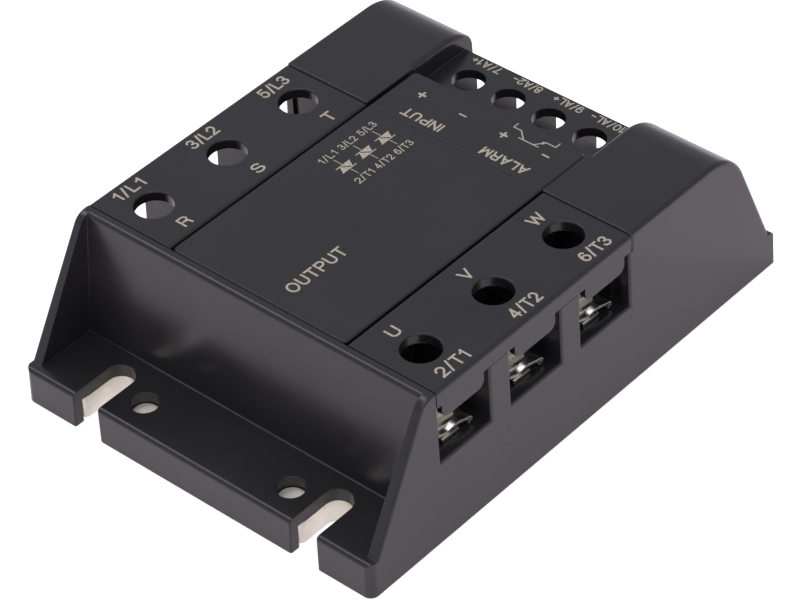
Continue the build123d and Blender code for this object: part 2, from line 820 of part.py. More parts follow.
def control_clamp(x):
    """Small square clamping plate with a shallow arch underneath."""
    rest = control_floor + contact_thickness + control_clamp_lift
    with BuildPart() as clamp:
        with BuildSketch(Plane.XY.offset(rest)):
            with Locations((x, control_y)):
                RectangleRounded(2 * control_clamp_half, 2 * control_clamp_half, 0.4)
                Circle(control_screw_radius + screw_clearance, mode=Mode.SUBTRACT)
        extrude(amount=control_clamp_thickness)
        with BuildSketch(Plane.XZ.offset(-(control_y - control_clamp_half))):
            with BuildLine():
                Line((x - control_arch_half, rest), (x + control_arch_half, rest))
                ThreePointArc(
                    (x + control_arch_half, rest),
                    (x, rest + control_arch_height),
                    (x - control_arch_half, rest),
                )
            make_face()
        extrude(amount=-2 * control_clamp_half, mode=Mode.SUBTRACT)
    return clamp.part


for number, x in enumerate(control_x):
    label = f"control_{number + 1}"
    save(control_contact(x), f"{label}_contact")
    save(control_clamp(x), f"{label}_clamp")
    control_seat = control_floor + contact_thickness + control_clamp_lift
    control_screw = screw(
        x, control_y, control_seat + control_clamp_thickness,
        control_screw_radius, control_screw_length,
        control_head_radius, control_head_height,
        control_washer_radius, control_washer_height, control_recess,
    )
    save(control_screw, f"{label}_screw")

with BuildPart() as control_nuts:
    with BuildSketch(Plane.XY.offset(control_floor - control_nut_height)):
        with Locations(*[(x, control_y) for x in control_x]):
            Rectangle(control_nut_side, control_nut_side)
            Circle(control_screw_radius + screw_clearance, mode=Mode.SUBTRACT)
    extrude(amount=control_nut_height)
save(control_nuts.part, "control_nuts")

# ---------------------------------------------------------------- power stage
for number, y in enumerate(phase_y):
    with BuildPart() as substrate:
        with BuildSketch(Plane.XY.offset(plate_thickness)):
            with Locations((0, y)):
                Rectangle(substrate_width, substrate_length)
        extrude(amount=substrate_top - plate_thickness)
    save(substrate.part, f"ceramic_substrate_{number + 1}")

with BuildPart() as thyristor_chips:
    with BuildSketch(Plane.XY.offset(substrate_top)):
        with Locations(*[(side * chip_x, y) for side in (-1, 1) for y in phase_y]):
            Rectangle(chip_side, chip_side)
    extrude(amount=chip_top - substrate_top)
    chamfer(thyristor_chips.edges().group_by(Axis.Z)[-1], 0.15)
save(thyristor_chips.part, "thyristor_chips")

lead_places = [(side * lead_x, y + 2.0) for side in (-1, 1) for y in phase_y]
with BuildPart() as gate_leads:
    with BuildSketch(Plane.XY.offset(chip_top)):
        with Locations(*lead_places):
            Circle(lead_radius)
    extrude(amount=board_bottom + board_thickness + lead_stand_out - chip_top)
save(gate_leads.part, "gate_leads")

with BuildPart() as thermal_sensor:
    with BuildSketch(Plane.XY.offset(plate_thickness)):
        with Locations((0, sensor_y)):
            RectangleRounded(6.0, 3.6, 0.6)
    extrude(amount=sensor_height)
    with BuildSketch(Plane.XY.offset(plate_thickness + sensor_height)):
        with Locations((-sensor_lead_x, sensor_y), (sensor_lead_x, sensor_y)):
            Circle(sensor_lead_radius)
    extrude(
        amount=board_bottom + board_thickness + lead_stand_out - plate_thickness - sensor_height
    )
save(thermal_sensor.part, "thermal_sensor")

# insulating compound poured over the power stage
with BuildPart() as potting_compound:
    with BuildSketch(Plane.XY.offset(plate_thickness)):
        with Locations((0, (chamber_near + chamber_far) / 2)):
            RectangleRounded(
                2 * chamber_half_width - 0.1, chamber_far - chamber_near - 0.1, chamber_corner - 0.05
            )
    extrude(amount=compound_depth)
    for buried in (thyristor_chips.part, gate_leads.part, thermal_sensor.part):
        add(buried, mode=Mode.SUBTRACT)
    for number, y in enumerate(phase_y):
        with BuildSketch(Plane.XY.offset(plate_thickness)):
            with Locations((0, y)):
                Rectangle(substrate_width, substrate_length)
        extrude(amount=substrate_top - plate_thickness, mode=Mode.SUBTRACT)
        for side in (-1, 1):
            add(power_bus(side, power_y[number], y), mode=Mode.SUBTRACT)
save(potting_compound.part, "potting_compound")

# ---------------------------------------------------------------- circuit board
board_top = board_bottom + board_thickness
sensor_leads = [(-sensor_lead_x, sensor_y), (sensor_lead_x, sensor_y)]
tail_places = [(x, chamber_far - 2.0) for x in control_x]
with BuildPart() as control_board:
    with BuildSketch(Plane.XY.offset(board_bottom)):
        with Locations((0, (chamber_near + chamber_far) / 2)):
            Rectangle(2 * board_half_width, chamber_far - chamber_near - 2 * board_end_gap)
        with Locations(*lead_places):
            Circle(lead_radius + 0.1, mode=Mode.SUBTRACT)
        with Locations(*sensor_leads):
            Circle(sensor_lead_radius + 0.1, mode=Mode.SUBTRACT)
        with Locations(*tail_places):
            Rectangle(1.5, 1.2, mode=Mode.SUBTRACT)
    extrude(amount=board_thickness)
save(control_board.part, "control_board")

with BuildPart() as opto_couplers:
    with BuildSketch(Plane.XY.offset(board_top)):
        with Locations(*[(opto_x, y + opto_shift) for y in phase_y]):
            Rectangle(opto_width, opto_length)
    extrude(amount=opto_height)
    chamfer(opto_couplers.edges().group_by(Axis.Z)[-1], 0.3)
save(opto_couplers.part, "opto_couplers")

with BuildPart() as snubber_capacitors:
    with BuildSketch(Plane.XY.offset(board_top)):
        with Locations(*[(capacitor_x, y) for y in phase_y]):
            RectangleRounded(capacitor_width, capacitor_length, 0.6)
    extrude(amount=capacitor_height)
save(snubber_capacitors.part, "snubber_capacitors")

with BuildPart() as snubber_resistors:
    for y in phase_y:
        with BuildSketch(Plane.XZ.offset(-(y - resistor_length / 2))):
            with Locations((resistor_x, board_top + resistor_radius + board_gap)):
                Circle(resistor_radius)
        extrude(amount=-resistor_length)
save(snubber_resistors.part, "snubber_resistors")

with BuildPart() as surge_absorbers:
    for y in phase_y:
        with BuildSketch(Plane.YZ.offset(absorber_x)):
            with Locations((y + opto_shift, board_top + absorber_radius + absorber_lift)):
                Circle(absorber_radius)
        extrude(amount=absorber_thickness)
save(surge_absorbers.part, "surge_absorbers")

with BuildPart() as input_regulator:
    with BuildSketch(Plane.XY.offset(board_top)):
        with Locations(regulator_place):
            Rectangle(regulator_width, regulator_thickness)
    extrude(amount=regulator_height)
save(input_regulator.part, "input_regulator")

with BuildPart() as alarm_transistor:
    with BuildSketch(Plane.XY.offset(board_top)):
        with Locations((transistor_x, transistor_y)):
            Circle(transistor_radius)
        with Locations((transistor_x, transistor_y + transistor_flat + transistor_radius / 2)):
            Rectangle(3 * transistor_radius, transistor_radius, mode=Mode.SUBTRACT)
    extrude(amount=transistor_height)
save(alarm_transistor.part, "alarm_transistor")
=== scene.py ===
import json
import math

import bmesh
import bpy
from mathutils import Matrix, Vector


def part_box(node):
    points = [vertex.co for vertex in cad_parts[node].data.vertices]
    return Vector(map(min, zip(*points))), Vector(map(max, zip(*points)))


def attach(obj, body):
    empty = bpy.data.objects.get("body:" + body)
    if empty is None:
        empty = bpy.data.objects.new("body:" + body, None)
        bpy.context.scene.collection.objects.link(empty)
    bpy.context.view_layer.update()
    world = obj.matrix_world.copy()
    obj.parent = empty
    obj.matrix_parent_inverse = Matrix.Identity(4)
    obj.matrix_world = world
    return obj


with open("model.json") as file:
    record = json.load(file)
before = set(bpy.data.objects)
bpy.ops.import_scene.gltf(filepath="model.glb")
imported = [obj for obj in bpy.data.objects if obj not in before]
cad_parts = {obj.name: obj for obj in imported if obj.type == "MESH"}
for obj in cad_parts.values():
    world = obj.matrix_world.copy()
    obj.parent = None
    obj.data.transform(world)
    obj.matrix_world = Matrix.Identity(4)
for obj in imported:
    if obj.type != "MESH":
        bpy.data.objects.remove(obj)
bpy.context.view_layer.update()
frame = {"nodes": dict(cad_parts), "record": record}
nodes = frame["nodes"]
record = frame["record"]
MM = 0.001                          # one millimetre in the frame's metres

# ---------------------------------------------------------------- material kit
BEVEL_SAMPLES = 4
EDGE_COSINES = (0.98, 0.75)         # true against softened normal: on flats, at sharp edges
WHOLE = (0.0, 1.0)
MIDDLE = (0.3, 0.7)                 # stretches of a noise's values, which gather round 0.5
BROAD = (0.25, 0.75)
WIDE = (0.2, 0.8)
CRISP = (0.38, 0.62)
RARE = (0.73, 0.8)


class Look:
    """A Principled material with short helpers for building its node graph.

    A value is either a plain number or colour, or another node's output socket.
    """

    def __init__(self, name):
        self.material = bpy.data.materials.new(name)
        self.material.use_nodes = True
        self.tree = self.material.node_tree
        self.tree.nodes.clear()
        self.shader = self.add("ShaderNodeBsdfPrincipled")
        self.add("ShaderNodeOutputMaterial", {"Surface": self.shader.outputs["BSDF"]})
        self.place = self.add("ShaderNodeTexCoord").outputs["Object"]

    def add(self, kind, values=None, **settings):
        """New node with its settings, and values for the inputs named or numbered."""
        node = self.tree.nodes.new(kind)
        for key, setting in settings.items():
            setattr(node, key, setting)
        for key, value in (values or {}).items():
            self.feed(node.inputs[key], value)
        return node

    def feed(self, target, value):
        """Link an input to another node's output, or give it a plain value."""
        if isinstance(value, bpy.types.NodeSocket):
            self.tree.links.new(value, target)
        elif target.type == "RGBA":
            target.default_value = (*value, 1.0)
        else:
            target.default_value = value

    def set(self, name, value):
        """Give the shader one of its inputs."""
        self.feed(self.shader.inputs[name], value)

    def noise(self, scale, detail=3.0, roughness=0.5, stretch=None):
        """Noise, scale in cells per metre, drawn out along an axis with stretch under 1."""
        place = self.place
        if stretch:
            mapping = self.add("ShaderNodeMapping", {"Vector": place, "Scale": stretch})
            place = mapping.outputs["Vector"]
        values = {"Vector": place, "Scale": scale, "Detail": detail, "Roughness": roughness}
        return self.add("ShaderNodeTexNoise", values).outputs["Fac"]

    def remap(self, value, source, target):
        """Take the range source to the range target, held at its ends."""
        values = {
            "Value": value,
            "From Min": source[0],
            "From Max": source[1],
            "To Min": target[0],
            "To Max": target[1],
        }
        return self.add("ShaderNodeMapRange", values).outputs["Result"]

    def maths(self, operation, first, second):
        """Result of a sum or product."""
        values = {0: first, 1: second}
        return self.add("ShaderNodeMath", values, operation=operation).outputs["Value"]

    def mix(self, factor, low, high):
        """Colour between low and high, as factor goes from 0 to 1."""
        node = self.add("ShaderNodeMix", {0: factor}, data_type="RGBA")
        low_input, high_input = [socket for socket in node.inputs if socket.type == "RGBA"]
        self.feed(low_input, low)
        self.feed(high_input, high)
        return next(socket for socket in node.outputs if socket.type == "RGBA")

    def softened(self, radius):
        """Surface normal with its sharp edges rounded to radius."""
        node = self.add("ShaderNodeBevel", {"Radius": radius}, samples=BEVEL_SAMPLES)
        return node.outputs["Normal"]

    def edge_mask(self, radius):
        """About 1 at sharp edges and 0 on flats, from the softened normal."""
        true_normal = self.add("ShaderNodeNewGeometry").outputs["Normal"]
        values = {0: self.softened(radius), 1: true_normal}
        turned = self.add("ShaderNodeVectorMath", values, operation="DOT_PRODUCT")
        return self.remap(turned.outputs["Value"], EDGE_COSINES, WHOLE)

    def bump(self, layers, soft_edge=None):
        """Stack (height, strength, distance) layers over an optional softened edge."""
        normal = self.softened(soft_edge) if soft_edge else None
        for height, strength, distance in layers:
            values = {"Height": height, "Strength": strength, "Distance": distance}
            if normal:
                values["Normal"] = normal
            normal = self.add("ShaderNodeBump", values).outputs["Normal"]
        self.set("Normal", normal)


def darker(colour, share):
    """The given share of a colour."""
    return tuple(channel * share for channel in colour)


# ---------------------------------------------------------------- materials
GLOSSY_PATCH = 0.05                 # roughness below and above a surface's own value
DULL_PATCH = 0.07
ELECTRONICS_PATCH = 0.06
PLASTIC_GRAIN = 0.03
INK_ROUGHNESS = (0.5, 0.65)

FLOW_TONES = (0.9, 1.12)            # shares of a material's own colour
TARNISH = 0.72
CLOUDING = 0.8

# grey of the dust specks, which the painted edge highlight also lightens towards
DUST_AND_SHEEN_COLOUR = (0.2, 0.195, 0.195)
DUST = 0.05                         # how far dust specks, and the painted highlight along sharp edges, lighten the plastic
PAINTED_EDGE_SHEEN = 0.05
# width of the painted highlight band along each sharp edge
EDGE_SHEEN_WIDTH = 0.35 * MM
PLASTIC_IOR = 1.5

PLASTIC_EDGE = 0.25 * MM            # radii that soften sharp edges
METAL_EDGE = 0.12 * MM

GRAIN_DEPTH = (0.2, 0.008 * MM)     # bumps: strength and distance
RIPPLE_DEPTH = (0.12, 0.02 * MM)
STREAK_DEPTH = (0.15, 0.006 * MM)
DENT_DEPTH = (0.08, 0.015 * MM)
CLOUD_DEPTH = (0.2, 0.02 * MM)
INK_DEPTH = (0.2, 0.01 * MM)


def plastic(name, colour, roughness, grain=1.0):
    """Moulded black plastic: fine grain, flow variation, faint dust and a painted highlight that
    lightens sharp edges.
    """
    look = Look(name)
    fine = look.noise(scale=5200.0, detail=2.0, roughness=0.6)
    ripple = look.noise(scale=420.0)
    cloud = look.noise(scale=38.0, detail=4.0, roughness=0.6)
    dust = look.noise(scale=1500.0, detail=1.0, roughness=0.4)
    flow = {0: colour, "Scale": look.remap(cloud, MIDDLE, FLOW_TONES)}
    tint = look.add("ShaderNodeVectorMath", flow, operation="SCALE").outputs["Vector"]
    specks = look.remap(dust, RARE, (0.0, DUST))
    # painted highlight: every sharp edge is lightened towards the dust's grey
    painted_edge_sheen = look.maths("MULTIPLY", look.edge_mask(EDGE_SHEEN_WIDTH), PAINTED_EDGE_SHEEN)
    look.set("Base Color", look.mix(look.maths("ADD", specks, painted_edge_sheen), tint, DUST_AND_SHEEN_COLOUR))
    patches = look.remap(cloud, BROAD, (roughness - GLOSSY_PATCH, roughness + DULL_PATCH))
    grains = look.remap(fine, WIDE, (-PLASTIC_GRAIN, PLASTIC_GRAIN))
    look.set("Roughness", look.maths("ADD", patches, grains))
    look.set("IOR", PLASTIC_IOR)
    layers = []
    for height, (strength, distance) in ((ripple, RIPPLE_DEPTH), (fine, GRAIN_DEPTH)):
        layers.append((height, strength * grain, distance))
    look.bump(layers, PLASTIC_EDGE)
    return look.material


def plated(name, colour, roughness, streak=(1.0, 1.0, 1.0)):
    """Plated metal: brushed or rolled streaks, tarnish clouds and small dents."""
    look = Look(name)
    streaks = look.noise(scale=900.0, detail=4.0, roughness=0.65, stretch=streak)
    cloud = look.noise(scale=140.0, roughness=0.6)
    dents = look.noise(scale=1100.0, detail=2.0)
    tone = look.remap(cloud, MIDDLE, WHOLE)
    look.set("Base Color", look.mix(tone, darker(colour, TARNISH), colour))
    look.set("Metallic", 1.0)
    brushed = look.remap(streaks, BROAD, (roughness - GLOSSY_PATCH, roughness + DULL_PATCH))
    look.set("Roughness", brushed)
    look.bump([(streaks, *STREAK_DEPTH), (dents, *DENT_DEPTH)], METAL_EDGE)
    return look.material


def plain(name, colour, roughness, metallic=0.0, scale=600.0):
    """Hidden electronics: a colour with clouding and light surface relief."""
    look = Look(name)
    cloud = look.noise(scale=scale, roughness=0.6)
    tone = look.remap(cloud, MIDDLE, WHOLE)
    look.set("Base Color", look.mix(tone, darker(colour, CLOUDING), colour))
    look.set("Metallic", metallic)
    patches = (roughness - ELECTRONICS_PATCH, roughness + ELECTRONICS_PATCH)
    look.set("Roughness", look.remap(cloud, WIDE, patches))
    look.bump([(cloud, *CLOUD_DEPTH)])
    return look.material


def ink(name, colour):
    """Pad-printed ink: thin, slightly uneven coverage."""
    look = Look(name)
    cover = look.noise(scale=2600.0, roughness=0.6)
    cloud = look.noise(scale=160.0, detail=2.0)
    tone = look.remap(cover, CRISP, WHOLE)
    look.set("Base Color", look.mix(tone, darker(colour, CLOUDING), colour))
    look.set("Roughness", look.remap(cloud, WIDE, INK_ROUGHNESS))
    look.bump([(cover, *INK_DEPTH)])
    return look.material


BLACK = (0.0165, 0.0155, 0.017)
looks = {
    "black_plastic": plastic("black_plastic", BLACK, 0.22),
    "black_panel": plastic("black_panel", BLACK, 0.3, grain=0.8),
    "black_cover": plastic("black_cover", BLACK, 0.26, grain=0.9),
    "nickel_plate": plated("nickel_plate", (0.84, 0.85, 0.74), 0.3, streak=(0.15, 1.0, 1.0)),
    "bright_nickel": plated("bright_nickel", (1.0, 0.96, 0.86), 0.6),
    "nickel_brass": plated("nickel_brass", (0.86, 0.82, 0.74), 0.24, streak=(1.0, 0.2, 1.0)),
    "nickel_clamp": plated("nickel_clamp", (0.88, 0.85, 0.79), 0.22, streak=(0.2, 1.0, 1.0)),
    "nickel_washer": plated("nickel_washer", (0.8, 0.72, 0.58), 0.24, streak=(1.0, 0.3, 1.0)),
    "nickel_screw": plated("nickel_screw", (0.87, 0.84, 0.77), 0.13, streak=(1.0, 1.0, 0.3)),
    "zinc_steel": plated("zinc_steel", (0.66, 0.66, 0.64), 0.3),
    "white_ceramic": plain("white_ceramic", (0.85, 0.85, 0.82), 0.5),
    "silicon": plain("silicon", (0.2, 0.2, 0.24), 0.15, metallic=0.6),
    "tinned_copper": plated("tinned_copper", (0.75, 0.75, 0.73), 0.3),
    "potting": plain("potting", (0.16, 0.16, 0.17), 0.35, scale=300.0),
    "board_green": plain("board_green", (0.02, 0.16, 0.05), 0.35, scale=250.0),
    "epoxy_white": plain("epoxy_white", (0.8, 0.8, 0.78), 0.45),
    "epoxy_black": plain("epoxy_black", (0.03, 0.03, 0.03), 0.45),
    "capacitor_box": plain("capacitor_box", (0.62, 0.45, 0.05), 0.4),
    "resistor_body": plain("resistor_body", (0.4, 0.45, 0.5), 0.5),
    "absorber_blue": plain("absorber_blue", (0.04, 0.12, 0.4), 0.35),
}
ink_look = ink("label_ink", (0.54, 0.47, 0.38))

for row in record["subparts"]:
    materials = nodes[row["node"]].data.materials
    materials.clear()
    materials.append(looks[row["material_slot"]])

# ---------------------------------------------------------------- printing kit (millimetres)
INK_THICKNESS = 0.03
INK_STEP = 0.002                    # strokes that cross are printed one over the other
STROKE_WEIGHT = 0.15                # stroke widths, as shares of the capitals' height
BOLD_WEIGHT = 0.17
SMALL_WEIGHT = 0.125
GLYPH_GAP = 0.3                     # between two letters, in the units of GLYPHS
MITRE_LIMIT = 2.4                   # longest mitre, in half widths of the stroke
MITRE_COSINE = 0.2                  # the sharpest bend that a mitre is worked out for
SAME_POINT = 1e-6
ARC_STEPS = 14
RING = 2 * ARC_STEPS

PRINT_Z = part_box("top_panel")[1].z / MM     # the covers' tops are level with the panel's
STRIP_Z = 26.6
# what takes print: its body, its material slot and its height
LINE_COVER = ("line_cover_body", "black_cover", PRINT_Z)
LOAD_COVER = ("load_cover_body", "black_cover", PRINT_Z)
PANEL = ("relay", "black_panel", PRINT_Z)
STRIP = ("relay", "black_plastic", STRIP_Z)
mount_places = {mount["name"]: Vector(mount["pos_m"]) / MM for mount in record["mounts"]}

UP = Vector((0, 0, 1))
TO_LINE = Vector((-1, 0, 0))        # where the letters' tops point
TO_NEAR = Vector((0, -1, 0))


def arc(cx, cy, rx, ry, start, end, steps=ARC_STEPS):
    """Points along an ellipse arc, degrees anticlockwise from +x."""
    turn = [math.radians(start + (end - start) * k / steps) for k in range(steps + 1)]
    return [(cx + rx * math.cos(a), cy + ry * math.sin(a)) for a in turn]


# each glyph's width and strokes; 0 is the baseline and 1 the capitals' height
GLYPHS = {
    "0": (0.62, [arc(0.31, 0.5, 0.31, 0.5, 90, 450, RING)]),
    "1": (0.3, [[(0.0, 0.76), (0.12, 0.82), (0.26, 1.0)], [(0.26, 1.0), (0.26, 0.0)]]),
    "2": (0.62, [arc(0.3, 0.69, 0.3, 0.31, 172, -38) + [(0.0, 0.0)], [(0.0, 0.0), (0.62, 0.0)]]),
    "3": (0.62, [
        arc(0.29, 0.755, 0.27, 0.245, 165, -90),
        arc(0.29, 0.255, 0.32, 0.255, 90, -165),
    ]),
    "4": (0.66, [[(0.47, 0.0), (0.47, 1.0)], [(0.47, 1.0), (0.0, 0.27)], [(0.0, 0.27), (0.66, 0.27)]]),
    "5": (0.62, [[(0.56, 1.0), (0.1, 1.0), (0.05, 0.53)] + arc(0.29, 0.32, 0.32, 0.33, 125, -160)]),
    "6": (0.62, [
        arc(0.31, 0.31, 0.31, 0.31, 90, 450, RING),
        [(0.0, 0.31), (0.02, 0.6), (0.1, 0.84), (0.25, 0.98), (0.42, 0.98), (0.54, 0.86)],
    ]),
    "7": (0.6, [[(0.0, 1.0), (0.6, 1.0), (0.36, 0.55), (0.22, 0.0)]]),
    "8": (0.62, [
        arc(0.31, 0.76, 0.26, 0.24, 90, 450, RING),
        arc(0.31, 0.27, 0.31, 0.27, 90, 450, RING),
    ]),
    "9": (0.62, [
        arc(0.31, 0.69, 0.31, 0.31, 90, 450, RING),
        [(0.62, 0.69), (0.6, 0.4), (0.52, 0.16), (0.37, 0.02), (0.2, 0.02), (0.08, 0.14)],
    ]),
    "/": (0.34, [[(0.0, -0.06), (0.34, 1.06)]]),
    "+": (0.5, [[(0.0, 0.5), (0.5, 0.5)], [(0.25, 0.25), (0.25, 0.75)]]),
    "-": (0.42, [[(0.0, 0.45), (0.42, 0.45)]]),
    "A": (0.68, [[(0.0, 0.0), (0.34, 1.0)], [(0.34, 1.0), (0.68, 0.0)], [(0.11, 0.3), (0.57, 0.3)]]),
    "I": (0.0, [[(0.0, 0.0), (0.0, 1.0)]]),
    "L": (0.5, [[(0.0, 1.0), (0.0, 0.0), (0.5, 0.0)]]),
    "M": (0.74, [
        [(0.0, 0.0), (0.0, 1.0)],
        [(0.0, 1.0), (0.37, 0.12)],
        [(0.37, 0.12), (0.74, 1.0)],
        [(0.74, 1.0), (0.74, 0.0)],
    ]),
    "N": (0.6, [[(0.0, 0.0), (0.0, 1.0)], [(0.0, 1.0), (0.6, 0.0)], [(0.6, 0.0), (0.6, 1.0)]]),
    "O": (0.74, [arc(0.37, 0.5, 0.37, 0.5, 90, 450, RING)]),
    "P": (0.6, [
        [(0.0, 0.0), (0.0, 1.0)],
        [(0.0, 1.0)] + arc(0.34, 0.73, 0.26, 0.27, 90, -90) + [(0.0, 0.46)],
    ]),
    "R": (0.62, [
        [(0.0, 0.0), (0.0, 1.0)],
        [(0.0, 1.0)] + arc(0.34, 0.74, 0.26, 0.26, 90, -90) + [(0.0, 0.48)],
        [(0.32, 0.48), (0.54, 0.36), (0.6, 0.0)],
    ]),
    "S": (0.62, [arc(0.31, 0.755, 0.28, 0.245, 20, 270) + arc(0.31, 0.255, 0.31, 0.255, 90, -165)]),
    "T": (0.62, [[(0.0, 1.0), (0.62, 1.0)], [(0.31, 1.0), (0.31, 0.0)]]),
    "U": (0.6, [[(0.0, 1.0)] + arc(0.3, 0.3, 0.3, 0.3, 180, 360) + [(0.6, 1.0)]]),
    "V": (0.64, [[(0.0, 1.0), (0.32, 0.0)], [(0.32, 0.0), (0.64, 1.0)]]),
    "W": (0.94, [
        [(0.0, 1.0), (0.23, 0.0)],
        [(0.23, 0.0), (0.47, 0.96)],
        [(0.47, 0.96), (0.71, 0.0)],
        [(0.71, 0.0), (0.94, 1.0)],
    ]),
}


def ribbon(shape, points, width, z):
    """Raised flat stroke of even width along points, mitred at its bends."""
    spots = [Vector(p) for p in points]
    spots = [spots[0]] + [b for a, b in zip(spots, spots[1:]) if (b - a).length > SAME_POINT]
    closed = (spots[0] - spots[-1]).length < SAME_POINT
    half = width / 2
    if closed:
        spots = spots[:-1]
    else:
        spots[0] = spots[0] - (spots[1] - spots[0]).normalized() * half
        spots[-1] = spots[-1] + (spots[-1] - spots[-2]).normalized() * half
    count = len(spots)
    rings = []
    for i, spot in enumerate(spots):
        before = spot - spots[i - 1] if i or closed else spots[1] - spot
        after = spots[(i + 1) % count] - spot if i < count - 1 or closed else before
        before, after = before.normalized(), after.normalized()
        across = Vector((-(before + after).y, (before + after).x)).normalized()
        straight = Vector((-before.y, before.x))
        mitre = half / max(across.dot(straight), MITRE_COSINE)
        side = across * min(mitre, MITRE_LIMIT * half)
        left, right = spot + side, spot - side
        top = z + INK_THICKNESS
        corners = ((left, z), (right, z), (right, top), (left, top))
        rings.append([shape.verts.new((c.x * MM, c.y * MM, h * MM)) for c, h in corners])
    pairs = list(zip(rings, rings[1:]))
    if closed:
        pairs.append((rings[-1], rings[0]))
    else:
        shape.faces.new(rings[0][::-1])
        shape.faces.new(rings[-1])
    for near, far in pairs:
        for k in range(4):
            shape.faces.new((near[k], near[(k + 1) % 4], far[(k + 1) % 4], far[k]))


def slab(shape, outline, z, top):
    """Filled outline from z up to top."""
    low = [shape.verts.new((x * MM, y * MM, z * MM)) for x, y in outline]
    high = [shape.verts.new((x * MM, y * MM, top * MM)) for x, y in outline]
    shape.faces.new(high)
    shape.faces.new(low[::-1])
    for i in range(len(outline)):
        j = (i + 1) % len(outline)
        shape.faces.new((low[i], low[j], high[j], high[i]))


def put_print(name, shape, body):
    """Make the shape a piece of ink that rides on a body."""
    bmesh.ops.recalc_face_normals(shape, faces=shape.faces[:])
    mesh = bpy.data.meshes.new(name)
    shape.to_mesh(mesh)
    shape.free()
    mesh.materials.append(ink_look)
    piece = bpy.data.objects.new(name, mesh)
    bpy.context.scene.collection.objects.link(piece)
    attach(piece, body)


def mark(name, text, centre, height, width, up, surface, weight=STROKE_WEIGHT):
    """Printed text: cap height and total width, centred on the capitals' box."""
    body, slot_name, z = surface
    stroke = height * weight
    total = sum(GLYPHS[c][0] for c in text) + GLYPH_GAP * (len(text) - 1)
    across = (width - stroke) / total
    upward = height - stroke
    right = up.cross(UP)
    shape = bmesh.new()
    start = -total / 2
    for c in text:
        glyph_width, lines = GLYPHS[c]
        for level, line in enumerate(lines):
            points = []
            for x, y in line:
                spot = right * ((start + x) * across) + up * ((y - 0.5) * upward)
                points.append((centre[0] + spot.x, centre[1] + spot.y))
            ribbon(shape, points, stroke, z + level * INK_STEP)
        start += glyph_width + GLYPH_GAP
    put_print(name, shape, body)


def symbol(name, lines, width, surface, fills=()):
    """Printed symbol: strokes through points, and filled outlines."""
    body, slot_name, z = surface
    shape = bmesh.new()
    for level, line in enumerate(lines):
        ribbon(shape, line, width, z + level * INK_STEP)
    top = z + INK_THICKNESS + len(lines) * INK_STEP
    for outline in fills:
        slab(shape, outline, z, top)
    put_print(name, shape, body)


# ---------------------------------------------------------------- print on the terminal covers
LINE_NUMBERS = ("1/L1", "3/L2", "5/L3")
LOAD_NUMBERS = ("2/T1", "4/T2", "6/T3")
LETTER_WIDTHS = {"R": 2.0, "S": 2.1, "T": 2.05, "U": 2.05, "V": 2.2, "W": 3.0}
COVER_PRINTS = {
    "line": {
        "surface": LINE_COVER,
        "numbers": LINE_NUMBERS,
        "number_x": -34.5,
        "number_width": 6.4,
        "letters": "RST",
        "letter_x": -21.7,
        "letter_height": 2.45,
        "letter_shift": 0.0,
    },
    "load": {
        "surface": LOAD_COVER,
        "numbers": LOAD_NUMBERS,
        "number_x": 34.65,
        "number_width": 6.7,
        "letters": "UVW",
        "letter_x": 22.65,
        "letter_height": 2.5,
        "letter_shift": 0.3,
    },
}
NUMBER_HEIGHT = 2.5
NUMBER_SHIFT = 0.3                  # towards the control end, from the terminal's middle

for row in range(3):
    tag = row + 1
    y = mount_places[f"load_{tag}_terminal"].y
    for side, layout in COVER_PRINTS.items():
        centre = (layout["number_x"], y + NUMBER_SHIFT)
        mark(f"print_{side}_number_{tag}", layout["numbers"][row], centre, NUMBER_HEIGHT,
             layout["number_width"], TO_LINE, layout["surface"])
    for side, layout in COVER_PRINTS.items():
        letter = layout["letters"][row]
        centre = (layout["letter_x"], y + layout["letter_shift"])
        mark(f"print_{side}_letter_{tag}", letter, centre, layout["letter_height"],
             LETTER_WIDTHS[letter], TO_LINE, layout["surface"])

# ---------------------------------------------------------------- print on the panel
PANEL_WORDS = (                     # text, middle, capitals' height, width, up, weight
    ("OUTPUT", (3.25, -23.8), 2.5, 13.1, TO_LINE, STROKE_WEIGHT),
    ("INPUT", (-8.8, 16.15), 2.1, 8.4, TO_NEAR, BOLD_WEIGHT),
    ("ALARM", (8.95, 16.05), 2.1, 9.6, TO_NEAR, BOLD_WEIGHT),
)
for text, centre, height, width, up, weight in PANEL_WORDS:
    mark(f"print_{text.lower()}", text, centre, height, width, up, PANEL, weight)

# three switch symbols in a row, each between its line number and its load number
TRIAC_FIRST_Y = -1.1
TRIAC_PITCH = 4.85
TRIAC_X = (-13.2, -11.2, -9.7, -7.8)        # lead's end, upper bar, lower bar, lead's end
TRIAC_HALF = 1.6
TRIAC_BASE = 0.5                    # each arrowhead's base starts here, across the middle
TRIAC_TIP = 0.85
LEAD_WIDTH = 0.14
BAR_WIDTH = 0.2
SMALL_HEIGHT = 1.55
SMALL_LINE_X = -14.5
SMALL_LINE_WIDTH = 3.9
SMALL_LOAD_X = -6.45
SMALL_LOAD_WIDTH = 4.0

